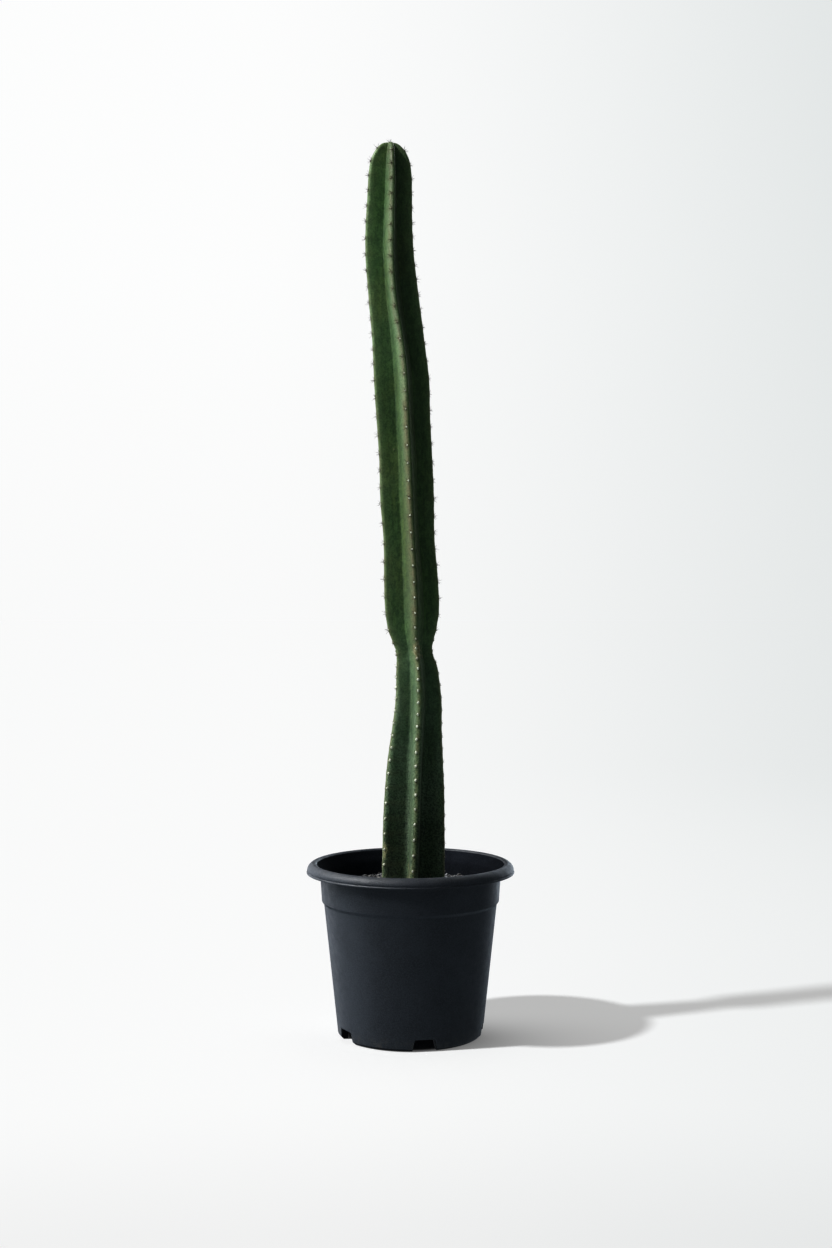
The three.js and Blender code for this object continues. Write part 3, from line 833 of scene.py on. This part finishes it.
def spine_piece(places, material):
    draw = random.Random(23)
    points, faces, reach_mark = [], [], []
    sides, steps = 5, 4

    def spine(frame_of, turn, reach, rise, thick):
        flat, lift = math.cos(rise) * reach, math.sin(rise) * reach
        tip = Vector((math.cos(turn) * flat, math.sin(turn) * flat, lift + AREOLE_RISE))
        foot = Vector((math.cos(turn) * 0.35, math.sin(turn) * 0.35, -0.5))
        way = tip - foot
        bow = Vector((draw.uniform(-1, 1), draw.uniform(-1, 1), draw.uniform(0, 1))) * 0.05 * reach
        one = way.orthogonal().normalized()
        two = way.normalized().cross(one)
        start = len(points)
        for i in range(steps):
            share = i / steps
            middle = foot + way * share + bow * math.sin(share * math.pi)
            r = thick * (1 - share) ** 0.45
            for j in range(sides):
                a = math.tau * j / sides
                points.append(placed(frame_of, *(middle + (one * math.cos(a) + two * math.sin(a)) * r)))
                reach_mark.append(share)
        points.append(placed(frame_of, *tip))
        reach_mark.append(1)
        faces.extend(sheet_faces(steps, sides, start=start))
        faces.extend(fan([start + (steps - 1) * sides + j for j in range(sides)], len(points) - 1))
        faces.append(tuple(start + sides - 1 - j for j in range(sides)))

    for rib, z, frame_of, main in places:
        seat, young = seated(rib, z, frame_of), z > YOUNG_Z
        for turn, reach, rise in main:
            spine(seat, turn, reach * (1.2 if young else 0.8), rise, 0.16)
        longest = 5.8 if young else 3.0
        for _ in range(draw.choice((4, 5, 6) if young else (2, 3))):
            turn, reach = draw.uniform(0, math.tau), draw.uniform(1.8, longest)
            spine(seat, turn, reach, draw.uniform(0.3, 1.35), 0.13)
    piece = new_object("spines", [tuple(p) for p in points], faces, [material], {"reach": reach_mark})
    return dress(piece, "cactus_skin")


# Soil
def soil_relief(x, y):
    return SOIL_RELIEF * (
        0.5 * np.sin(x * 0.21 + 1.3) * np.cos(y * 0.17 - 0.4)
        + 0.3 * np.sin(x * 0.43 - y * 0.31)
        + 0.25 * np.cos(x * 0.29 + y * 0.52 + 2)
    )


def socket_radius(angles):
    """Distance from the stem's axis to the socket's wall, at angles in plan."""
    ring, _ = stem_rings(np.array([float(STATIONS[0][0])]))
    x, y = ring[:, 0] - STATIONS[0][1], ring[:, 1]
    a = np.arctan2(y, x)
    order = np.argsort(a)
    return np.interp(angles, a[order], np.hypot(x, y)[order], period=math.tau) + CLEARANCE


def soil_top(x, y):
    """Height of the soil's finished surface."""
    points = np.column_stack([x, y, np.zeros(len(x))])
    edge = np.hypot(x, y) / SOIL_EDGE_R
    lumps = 0.9 * rough(points, 9, 3, 5) + 0.55 * rough(points, 2.6, 3, 6)
    return SOIL_Z + soil_relief(x, y) + lumps - 0.8 * step_up(edge, 0.93, 1.0)


def soil_piece(material):
    around, out_steps = 360, 60
    a = np.linspace(0, math.tau, around, endpoint=False)
    axis = np.array([STATIONS[0][1], 0])
    inner = axis + np.column_stack([np.cos(a), np.sin(a)]) * socket_radius(a)[:, None]
    # the wall seen from the stem's axis, so that the rays between them stay straight
    reach = -axis[0] * np.cos(a) + np.sqrt(SOIL_EDGE_R**2 - (axis[0] * np.sin(a)) ** 2)
    outer = axis + np.column_stack([np.cos(a), np.sin(a)]) * reach[:, None]

    def ring(xy, z):
        return np.column_stack([xy, np.broadcast_to(z, around)])

    rings = [ring(inner, SOCKET_Z), ring(inner, 125)]
    for share in np.linspace(0, 1, out_steps):
        xy = inner + (outer - inner) * share
        rings.append(ring(xy, soil_top(xy[:, 0], xy[:, 1])))
    rings += [ring(outer * (r / SOIL_EDGE_R), z) for r, z in SOIL_WALL]
    points = np.concatenate(rings + [[[axis[0], 0, SOCKET_Z], [0, 0, SOIL_WALL[-1][1]]]])
    hub = len(points) - 2
    faces = [f[::-1] for f in sheet_faces(len(rings), around)]
    faces += fan(list(range(around)), hub)
    faces += fan(list(range(hub - around, hub)), hub + 1, flip=True)
    piece = new_object("soil_bed", points, faces, [material])
    return dress(piece, "soil", "soil")


def ball_shape():
    shape = bmesh.new()
    bmesh.ops.create_icosphere(shape, subdivisions=2, radius=1)
    shape.verts.ensure_lookup_table()
    points = np.array([v.co[:] for v in shape.verts])
    faces = np.array([[v.index for v in f.verts] for f in shape.faces])
    shape.free()
    return points, faces


def crumbs_piece(material):
    draw = random.Random(31)
    ball, ball_faces = ball_shape()
    points, faces, tone, places = [], [], [], []
    while len(places) < CRUMBS:
        x, y = draw.uniform(-88, 88), draw.uniform(-88, 88)
        size = 0.55 + 1.9 * draw.random() ** 3.2
        kind = draw.random()
        if kind > 0.93:
            size *= 0.8
        a = math.atan2(y, x - STATIONS[0][1])
        away = math.hypot(x - STATIONS[0][1], y) - float(socket_radius(np.array([a]))[0])
        if math.hypot(x, y) > SOIL_EDGE_R - size * 1.5 or away < size * 1.4:
            continue
        places.append((x, y, size, kind))
    tops = soil_top(np.array([p[0] for p in places]), np.array([p[1] for p in places]))
    for (x, y, size, kind), z in zip(places, tops):
        long = draw.uniform(1.2, 2.1) if 0.55 < kind < 0.9 else draw.uniform(0.9, 1.25)
        shape = ball * [size * long, size, size * draw.uniform(0.5, 0.9)]
        lumps = np.array([noise.noise(Vector(p) * 1.3 + Vector((CRUMBS, x, y))) for p in ball])
        shape = shape * (1 + 0.42 * lumps)[:, None]
        turn = Matrix.Rotation(draw.uniform(0, math.tau), 3, "Z")
        tilt = Matrix.Rotation(draw.uniform(-0.5, 0.5), 3, "X")
        shape = shape @ np.array(turn @ tilt).T
        start = len(points) * len(ball)
        points.append(shape + [x, y, z + size * 0.18])
        faces.extend((ball_faces + start).tolist())
        tone.extend([kind] * len(ball))
    piece = new_object("soil_crumbs", np.concatenate(points), faces, [material], {"tone": tone})
    return dress(piece, "soil")


# Pot
def rounded(profile, radii, steps=5):
    """A line through profile with its corners rounded to radii."""
    made = [profile[0]]
    for i in range(1, len(profile) - 1):
        p, r = np.array(profile[i], float), radii.get(i, 0)
        if r <= 0:
            made.append(tuple(p))
            continue
        before, after = np.array(profile[i - 1]) - p, np.array(profile[i + 1]) - p
        lengths = np.linalg.norm(before), np.linalg.norm(after)
        before, after = before / lengths[0], after / lengths[1]
        half = math.acos(np.clip(before @ after, -1, 1)) / 2
        cut = min(r / math.tan(half), 0.48 * min(lengths))
        a, b = p + before * cut, p + after * cut
        for t in np.linspace(0, 1, steps):
            made.append(tuple(a * (1 - t) ** 2 + p * 2 * t * (1 - t) + b * t * t))
    made.append(profile[-1])
    return made


def subdivided(line, longest):
    made = [line[0]]
    for a, b in zip(line, line[1:]):
        n = max(1, math.ceil(math.dist(a, b) / longest))
        made += [tuple(np.array(a) + (np.array(b) - np.array(a)) * (i / n)) for i in range(1, n + 1)]
    return made


def pot_profile():
    """Radius and height round the wall's section, from the underside's middle to the floor's."""
    outside = rounded(
        [
            (0, 11.5), (64.5, 11.5), (66.5, 9.5), (66.5, 0), (70.6, 0), (73.6, 2.6),
            (87.7, 132.4), (89.9, 135.2), (91.5, 159), (92.4, 164.5),
        ],
        {1: 1.0, 2: 1.0, 3: 0.6, 4: 1.0, 5: 1.5, 6: 1.6, 7: 1.4, 8: 6},
    )
    under = smooth_line(
        [
            (92.4, 164.5), (92.9, 166.6), (94.5, 169.2), (98.6, 171.7),
            (101.9, 170.2), (103.2, 167.4), (103.25, 164.3),
        ],
        16,
    )
    skirt = rounded(
        [(103.25, 164.3), (103.3, 163.6), (105.5, 163.6), (105.4, 164.7), (104.75, 165.5)],
        {1: 0.5, 2: 0.6, 3: 0.6},
    )
    over = smooth_line(
        [
            (104.75, 165.5), (104.9, 167.3), (104.0, 169.7), (101.9, 172.0), (98.9, 173.5),
            (96.7, 173.2), (95.3, 172.4), (94.4, 170.9), (92.7, 167.2), (90.9, 163.8), (90.0, 161.5),
        ],
        44,
    )
    inside = rounded(
        [(90.0, 161.5), (89.7, 159), (88.1, 135.2), (85.9, 132.4), (73.0, 13.5), (0, 13.5)],
        {1: 4, 2: 1.2, 3: 1.2, 4: 2.0},
    )
    line = [tuple(p) for p in outside] + [tuple(p) for p in under[1:]] + skirt[1:]
    line += [tuple(p) for p in over[1:]] + inside[1:]
    return line


def lathe_object(name, line, segments, material):
    a = np.linspace(0, math.tau, segments, endpoint=False)
    rings = [
        np.column_stack([r * np.cos(a), r * np.sin(a), np.full(segments, z)])
        for r, z in line[1:-1]
    ]
    points = np.concatenate(rings + [[[0, 0, line[0][1]], [0, 0, line[-1][1]]]])
    low, high = len(points) - 2, len(points) - 1
    faces = sheet_faces(len(rings), segments)
    faces += fan(list(range(segments)), low, flip=True)
    faces += fan(list(range(low - segments, low)), high)
    return new_object(name, points, faces, [material])


def notch_side(side, deg):
    """Outline of one end of a notch: wider at its foot, with rounded upper corners."""
    r, top, bottom, height = (side[k] for k in ("r", "top", "bottom", "height"))
    line = rounded(
        [(-bottom / 2, -1), (-top / 2, height), (top / 2, height), (bottom / 2, -1)],
        {1: 1.7, 2: 1.7},
    )
    ox, oy = turned(deg)
    return [(ox * r - oy * s, oy * r + ox * s, z) for s, z in line]


def pot_cutter():
    points, faces = [], []
    for k in range(POT_NOTCHES):
        deg = NOTCH_FIRST_DEG + 360 / POT_NOTCHES * k
        ends = [notch_side(side, deg) for side in (NOTCH_INSIDE, NOTCH_OUTSIDE)]
        n, start = len(ends[0]), len(points)
        points += ends[0] + ends[1]
        faces += [f[::-1] for f in sheet_faces(2, n, start=start)]
        faces += [tuple(start + j for j in range(n)), tuple(start + 2 * n - 1 - j for j in range(n))]
        ox, oy = turned(deg)
        start, n = len(points), 40
        for z in (FLOOR_Z[0] - 2, FLOOR_Z[1] + 2):
            points += [
                (ox * DRAIN_CIRCLE_R + DRAIN_R * math.cos(math.tau * j / n),
                 oy * DRAIN_CIRCLE_R + DRAIN_R * math.sin(math.tau * j / n), z)
                for j in range(n)
            ]
        faces += sheet_faces(2, n, start=start)
        faces += [tuple(start + n - 1 - j for j in range(n)), tuple(start + n + j for j in range(n))]
    return new_object("cutter", points, faces)


def pot_piece(material):
    pot = lathe_object("nursery_pot", subdivided(pot_profile(), 6.0), POT_SEGMENTS, material)
    cutter = pot_cutter()
    cut = pot.modifiers.new("notches", "BOOLEAN")
    cut.operation, cut.solver, cut.object = "DIFFERENCE", "EXACT", cutter
    edge = pot.modifiers.new("edges", "BEVEL")
    edge.limit_method, edge.angle_limit = "ANGLE", math.radians(50)
    edge.width, edge.segments = 0.35 * MM, 2
    done = bpy.data.meshes.new_from_object(pot.evaluated_get(bpy.context.evaluated_depsgraph_get()))
    pot.modifiers.clear()
    pot.data = done
    done.shade_smooth()
    done.set_sharp_from_angle(angle=math.radians(38))
    bpy.data.objects.remove(cutter)
    return dress(pot, "pot_plastic", "pot")


# The object
places = areole_places()
plant = [
    stem_piece(places, skin_material()),
    wool_piece(places, wool_material()),
    spine_piece(places, spine_material()),
]
potted = [
    soil_piece(soil_material()),
    crumbs_piece(crumb_material()),
    pot_piece(plastic_material()),
]


# Studio
CAMERA_AT = (0.0056, -1.649, 0.436)
SUN_AT = (-70.2, 47.4)           # azimuth and elevation
FLOOR_SUN = 1.86
FILL = 0.03                      # light of the world on every surface
SHADE = 0.598                    # brightness of the floor where the sun doesn't reach
FOOT_R = 0.0706
CONTACT_REACH = 0.060            # how far the pot darkens the floor beside its foot
PAPER_R = 40000                  # half the side of the floor's sheet, in mm
PAPER_Z = -0.2

# Lamps on the plant, then on the pot with its soil: the sun or its glint, the wide window
# round it, and white boards. Name, azimuth, elevation, strength, spread and maybe a tint.
PLANT_LAMPS = [
    ("sun", *SUN_AT, 0.86, 4),
    ("window", -75, 48, 0.22, 30),
    ("left", -90, 12, 0.36, 60, (0.92, 1, 0.96)),
    ("front", -60, 12, 0.18, 60, (0.92, 1, 0.96)),
    ("dim", 10, 15, 0.066, 50, (0.75, 1, 0.88)),
    ("right", 100, 15, 0.06, 50),
    ("rim", -128, 18, 0.14, 60),
    ("back", 152, 25, 0.52, 60),
    ("bounce", 0, -90, 0.51, 140, (0.8, 1, 0.92)),
]
POT_LAMPS = [
    ("glint", -58, 36, 0.50, 12),
    ("window", -90, 50, 1.60, 28),
    ("rim", -136, 12, 0.50, 60, (0.95, 1, 1.08)),
    ("left", -88, 12, 0.36, 50, (0.9, 1, 1.1)),
    ("front", -10, 14, 0.10, 70, (0.85, 1, 1.12)),
    ("right", 75, 12, 0.10, 50, (0.85, 1, 1.12)),
    ("back", 150, 12, 0.60, 50, (0.9, 1, 1.1)),
    ("bounce", 0, -90, 0.46, 140, (0.85, 1, 1.12)),
]


def group(name, pieces):
    made = bpy.data.collections.new(name)
    for piece in pieces:
        made.objects.link(piece)
    return made


def sun(receivers, name, azimuth, elevation, strength, spread, tint=(1, 1, 1)):
    """A far, soft lamp in a direction turned from the front towards +X, for these pieces.
    A surface of albedo 1 that faces it is as bright as its strength."""
    data = bpy.data.lights.new(name, "SUN")
    data.energy, data.color, data.angle = strength * math.pi, tint, math.radians(spread)
    made = bpy.data.objects.new(name, data)
    bpy.context.scene.collection.objects.link(made)
    flat, (ox, oy) = math.cos(math.radians(elevation)), turned(azimuth)
    toward = Vector((ox * flat, oy * flat, math.sin(math.radians(elevation))))
    made.rotation_mode = "QUATERNION"
    made.rotation_quaternion = toward.to_track_quat("Z", "Y")
    made.light_linking.receiver_collection = receivers


def backdrop_tone(tree, x, amount):
    """Tone of the studio's white, greyer and cooler to the right by this amount."""
    inputs = {"Value": x, "From Min": -0.12, "From Max": 0.45, "To Max": amount}
    side = node(tree, "MapRange", inputs, interpolation_type="SMOOTHSTEP").outputs[0]
    inputs = {0: side, 6: (0.966, 0.968, 0.968), 7: (0.795, 0.818, 0.818)}
    return node(tree, "Mix", inputs, data_type="RGBA", clamp_factor=False).outputs[2]


def floor_material():
    """White paper. Its glow is the light that stays in the shadow, less near the pot's foot
    on the front and none under the pot; its colour makes the lit floor as bright as the wall."""
    s = Shade("studio_floor", **{
        "Roughness": 0.9, "Specular IOR Level": 0.0, "Emission Strength": 1.0,
    })
    away = s.vector("LENGTH", {0: s.place})
    gap = s.times(s.sum(away, FOOT_R, "SUBTRACT"), 1 / CONTACT_REACH)
    fading = s.sum(0.36788, gap, "POWER")
    contact = s.times(s.ramp(s.part(s.place, "Y"), 0.092, -0.045), fading)

    # greyer with the distance from a fixed spot, under the photo's camera, and dimmer close
    # to it; the spot stays where it is in other views
    out = s.vector("SUBTRACT", {0: s.place, 1: (*CAMERA_AT[:2], 0)})
    distance = s.vector("LENGTH", {0: out})
    side = s.part(s.vector("NORMALIZE", {0: out}), "X")
    tone = backdrop_tone(s.tree, side, s.ramp(distance, 1.75, 4.65, 0.56, 1.0))
    near = s.ramp(distance, 1.03, 1.45, 0.935, 1.0)
    # painted shade: the lit floor a little darker beside the pot's foot, on the front
    level = s.times(near, s.ramp(contact, 0.0, 1.0, 1.0, 0.95))
    tone = s.vector("SCALE", {0: tone, "Scale": level})
    shade = s.sum(SHADE, s.times(contact, 0.33), "SUBTRACT")
    shade = s.times(shade, s.ramp(away, FOOT_R - 0.010, FOOT_R + 0.003))
    grain = s.ramp(s.noise(900, 3), 0.3, 0.7, 0.996, 1.004)
    glow = s.vector("SCALE", {0: (1.0, 1.0, 0.995), "Scale": s.times(shade, grain)})
    sunlit = FLOOR_SUN * math.sin(math.radians(SUN_AT[1])) + FILL
    base = s.vector("SUBTRACT", {0: tone, 1: glow})
    base = s.vector("SCALE", {0: base, "Scale": 1 / sunlit})
    return s.set(Base_Color=base, Emission_Color=glow)


def backdrop():
    """What the lens sees behind the floor, and a faint light from all round."""
    world = bpy.data.worlds.new("studio")
    world.use_nodes = True
    bpy.context.scene.world = world
    tree = world.node_tree
    tree.nodes.clear()
    way = node(tree, "SeparateXYZ", {0: node(tree, "TexCoord").outputs["Generated"]})

    def rising(top, most):
        """1 at the horizon, and most from this height up."""
        inputs = {"Value": way.outputs["Z"], "From Max": top, "To Min": 1.0, "To Max": most}
        return node(tree, "MapRange", inputs).outputs[0]

    tone = backdrop_tone(tree, way.outputs["X"], rising(0.35, 1.3))
    seen = node(tree, "Background", {"Color": tone, "Strength": rising(0.2, 1.02)})
    fill = node(tree, "Background", {"Color": (1, 1, 1), "Strength": FILL})
    by_eye = node(tree, "LightPath").outputs["Is Camera Ray"]
    either = node(tree, "MixShader", {0: by_eye, 1: fill.outputs[0], 2: seen.outputs[0]})
    node(tree, "OutputWorld", {"Surface": either.outputs[0]})


def studio():
    corners = [(x * PAPER_R, y * PAPER_R, PAPER_Z) for x, y in ((-1, -1), (1, -1), (1, 1), (-1, 1))]
    floor = new_object("floor", corners, [(0, 1, 2, 3)], [floor_material()])
    floor.visible_diffuse = floor.visible_glossy = floor.visible_shadow = False
    sun(group("on_floor", [floor]), "floor_key", *SUN_AT, FLOOR_SUN, 3.6)
    for lit, pieces, lamps in (("plant", plant, PLANT_LAMPS), ("pot", potted, POT_LAMPS)):
        receivers = group("on_" + lit, pieces)
        for name, *settings in lamps:
            sun(receivers, lit + "_" + name, *settings)
    backdrop()


def photo_camera():
    data = bpy.data.cameras.new("photo_camera")
    data.sensor_width, data.lens, data.shift_y = 36, 46.73, -0.0160
    camera = bpy.data.objects.new("photo_camera", data)
    camera.location = CAMERA_AT
    camera.rotation_euler = (math.pi / 2, 0, 0)
    bpy.context.scene.collection.objects.link(camera)
    bpy.context.scene.camera = camera


studio()
photo_camera()
view = bpy.context.scene.view_settings
view.view_transform, view.gamma = "Standard", 0.7
